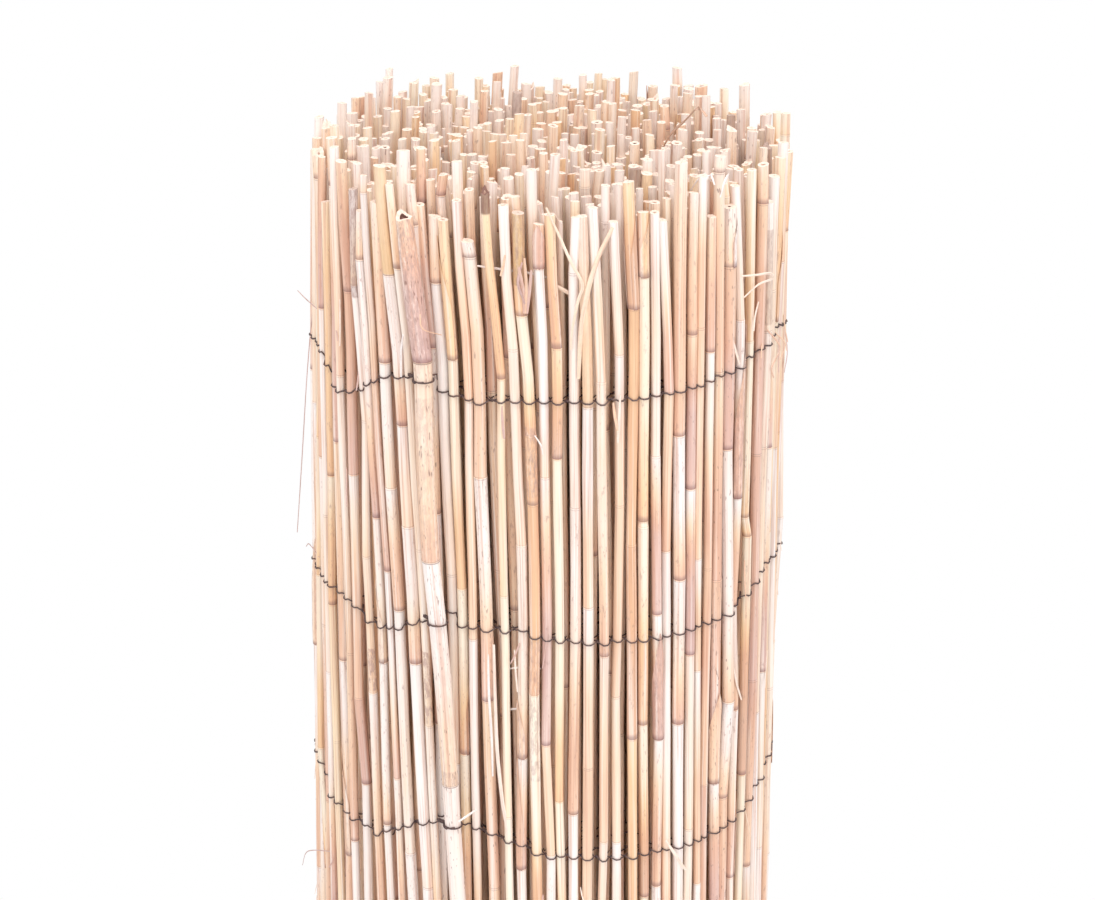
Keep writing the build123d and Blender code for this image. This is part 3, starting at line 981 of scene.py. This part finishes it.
def strandTube(body, points, sides):
    points = np.array(points)
    ahead = np.gradient(points, axis=0)
    ahead /= np.linalg.norm(ahead, axis=1)[:, None]
    across = np.cross(ahead, (0.0, 0.0, 1.0))
    across /= np.maximum(np.linalg.norm(across, axis=1), 1e-6)[:, None]
    upward = np.cross(across, ahead)
    turn = np.arange(sides) * 2 * math.pi / sides
    rings = points[:, None] + wirePlan["radius"] * (
        np.cos(turn)[None, :, None] * across[:, None] + np.sin(turn)[None, :, None] * upward[:, None])
    index = body.tube(rings)
    body.lid(index[0][::-1])
    body.lid(index[-1])


# Grows both strands of one row, and gives the last cane's middle, radius and directions there
def growRow(body, level, offsets, dice):
    middles, radii = [], []
    firstInner = sum(len(turn) for turn in canes[-wirePlan["outerTurns"]:])
    for number, cane in enumerate(order):
        angle = cane.angle[0] + (cane.angle[1] - cane.angle[0]) * level
        fade = np.clip(1 - (number - firstInner) / wirePlan["fade"], 0, 1)
        height = level + follow(offsets, bearingOf(angle)) / 1000 * fade
        place = np.array([height - cane.foot[2]])
        middles.append(cane.centres(place)[0])
        radii.append(cane.radii(place)[0] + wirePlan["radius"])
    middles = np.array(middles)
    ahead = np.gradient(middles, axis=0) * (1, 1, 0)
    ahead /= np.linalg.norm(ahead, axis=1)[:, None]
    outward = np.stack([-ahead[:, 1], ahead[:, 0], np.zeros(len(ahead))], axis=1)
    inwards = ((middles[:, :2] - rollAxis) * outward[:, :2]).sum(axis=1) < 0
    outward[inwards] *= -1
    wrap = math.radians(wirePlan["wrap"])
    for face in (1, -1):
        for start, stop, kind in ((0, firstInner + 1, "outer"), (firstInner, len(order), "inner")):
            points = []
            fine = kind == "outer"
            for index in range(start, stop):
                middle, radius = middles[index], radii[index]
                smile = dice.uniform(*wirePlan["smile"]) if fine else wirePlan["innerSmile"]
                sway = dice.gauss(0, wirePlan["wander"]) if fine else 0
                for share in ((-1, -0.4, 0.4, 1) if fine else (0,)):
                    side = (math.cos(wrap * share) * outward[index] * face
                            + math.sin(wrap * share) * ahead[index])
                    points.append(middle + side * radius + up * (sway + smile * share * share))
                if index + 1 == len(order):
                    continue
                step = middles[index + 1] - middle
                length = np.linalg.norm(step)
                gap = length - radius - radii[index + 1]
                place = middle + step / length * (radius + gap / 2)
                if not fine or gap < wirePlan["tightGap"]:
                    points.append(place + up * (smile + wirePlan["crossing"] * face))
                    continue
                coils = max(1, round(gap / wirePlan["coil"]))
                for share in np.linspace(0.2, 0.8, 2 + 2 * coils):
                    turn = 2 * math.pi * coils * (share - 0.2) / 0.6
                    offset = outward[index] * math.cos(turn) + up * math.sin(turn)
                    points.append(middle + step / length * (radius + gap * share) + up * smile
                                  + offset * wirePlan["twist"] * face)
            strandTube(body, points, wirePlan["sides"][kind])
    return middles[0], radii[0], outward[0], ahead[0]


def wireMaterial():
    graph = Graph("binding_wire")
    place = graph.add("ShaderNodeTexCoord", output="Object")
    grain = graph.noise(place, 900.0, 3.0, 0.6)
    blotch = graph.noise(place, 120.0, 3.0, 0.6)
    colour = graph.mix(grain.between(0.3, 0.7), tint(66, 52, 54), tint(108, 86, 82))
    colour = graph.mix(blotch.between(0.55, 0.7) * 0.5, colour, tint(128, 96, 80))
    return graph.surface(
        {"Base Color": colour, "Roughness": 0.5 + grain * 0.25, "Metallic": 0.25,
         "Normal": graph.bump(grain, 0.0001, 0.4)})


wireFinish = wireMaterial()
for row, (name, level) in enumerate(zip(wireNodes, wireLevels)):
    dice = random.Random(wirePlan["seed"] + row)
    body = Growing()
    offsets = wirePlan["offsets"][row % len(wirePlan["offsets"])]
    middle, radius, outward, ahead = growRow(body, level, offsets, dice)
    # The tie round the last cane, with its short twisted end
    tie, tail = wirePlan["tie"], wirePlan["tail"]
    turn = np.linspace(0, 2 * math.pi, tie["points"])
    loop = [middle + (math.cos(a) * outward + math.sin(a) * ahead) * (radius + tie["off"])
            + up * tie["pitch"] * (a / math.pi - 1) for a in turn]
    strandTube(body, loop, tie["sides"])
    for start in (0, math.pi):
        coil = []
        for share in np.linspace(0, 1, tail["points"]):
            a = start + share * 2 * math.pi * tail["coils"]
            along = middle + outward * radius * (0.5 - 0.2 * share)
            along = along + ahead * (radius * 0.9 + tail["length"] * share)
            along = along + up * (tail["rise"] - tail["drop"] * share)
            coil.append(along + (outward * math.cos(a) + up * math.sin(a)) * tail["radius"])
        strandTube(body, coil, tie["sides"])
    piece = body.build(name.replace("binding_wire", "twisted_wire"), wireFinish)
    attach(piece, "root")
    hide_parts(name)


# The white floor and backdrop, of which the floor keeps the shadow near the roll
backdropPlan = {
    "half": 12.0,                       # half the width of the floor
    "white": (1.0, 1.0, 1.0, 1.0),
    "paper": (0.9, 0.9, 0.9, 1.0),      # of the floor, in the light that it throws back
    "shown": (0.76, 0.76, 0.76, 1.0),   # of the floor as it is seen near the roll
    "fade": (0.35, 0.72),               # from the roll's middle, where that gives way to plain white
    "light": (1.0, 0.99, 0.99, 1.0),
    "strength": 0.87,
}


# 1 where the camera sees the surface itself, in a mirror or through glass
def seenRays(graph):
    node = graph.add("ShaderNodeLightPath").socket.node
    camera, glossy, through = (
        Val(graph, node.outputs[name]) for name in ("Is Camera Ray", "Is Glossy Ray", "Is Transmission Ray"))
    return camera.most(glossy).most(through)


def floorMaterial():
    graph = Graph("white_floor")
    place = graph.add("ShaderNodeTexCoord", output="Object")
    away = graph.add("ShaderNodeVectorMath", {"operation": "LENGTH"}, {0: place}, output="Value")
    white = graph.add("ShaderNodeEmission", {}, {0: backdropPlan["white"], 1: 1.0})
    paper = graph.add("ShaderNodeBsdfDiffuse", {}, {0: backdropPlan["paper"]})
    shaded = graph.add("ShaderNodeBsdfDiffuse", {}, {0: backdropPlan["shown"]})
    fade = away.between(*backdropPlan["fade"])
    shown = graph.add("ShaderNodeMixShader", {}, {0: fade, 1: shaded, 2: white})
    both = graph.add("ShaderNodeMixShader", {}, {0: seenRays(graph), 1: paper, 2: shown})
    graph.add("ShaderNodeOutputMaterial", {}, {0: both})
    return graph.material


floorMesh = bpy.data.meshes.new("floor")
half = backdropPlan["half"]
corners = [(-half, -half, 0), (half, -half, 0), (half, half, 0), (-half, half, 0)]
floorMesh.from_pydata(corners, [], [(0, 1, 2, 3)])
floorMesh.materials.append(floorMaterial())
floor = bpy.data.objects.new("floor", floorMesh)
bpy.context.scene.collection.objects.link(floor)

studio = Graph("studio", bpy.data.worlds)
lighting = studio.add("ShaderNodeBackground", {}, {0: backdropPlan["light"], 1: backdropPlan["strength"]})
behind = studio.add("ShaderNodeBackground", {}, {0: backdropPlan["white"], 1: 1.0})
sky = studio.add("ShaderNodeMixShader", {}, {0: seenRays(studio), 1: lighting, 2: behind})
studio.add("ShaderNodeOutputWorld", {}, {0: sky})
bpy.context.scene.world = studio.material


# Soft round lamps: where each stands and points, its width and its power
lampColour = (1.0, 0.99, 0.99)
lampPlan = {
    "key": {"place": (-1.2, -2.6, 2.2), "target": (0, 0, 0.7), "size": 1.8, "power": 13},
    "fill": {"place": (2.2, -1.8, 1.6), "target": (0, 0, 0.6), "size": 2.0, "power": 9},
    "above": {"place": (0.1, -0.5, 3.2), "target": (0, 0, 1.0), "size": 1.4, "power": 47},
}
for name, plan in lampPlan.items():
    lamp = bpy.data.lights.new(name, "AREA")
    lamp.shape = "DISK"
    lamp.size, lamp.energy, lamp.color = plan["size"], plan["power"], lampColour
    holder = bpy.data.objects.new(name, lamp)
    holder.location = plan["place"]
    facing = Vector(plan["target"]) - Vector(plan["place"])
    holder.rotation_euler = facing.to_track_quat("-Z", "Y").to_euler()
    bpy.context.scene.collection.objects.link(holder)
print("floor, backdrop and", len(lampPlan), "lamps set")

bpy.context.scene.view_settings.view_transform = "Standard"
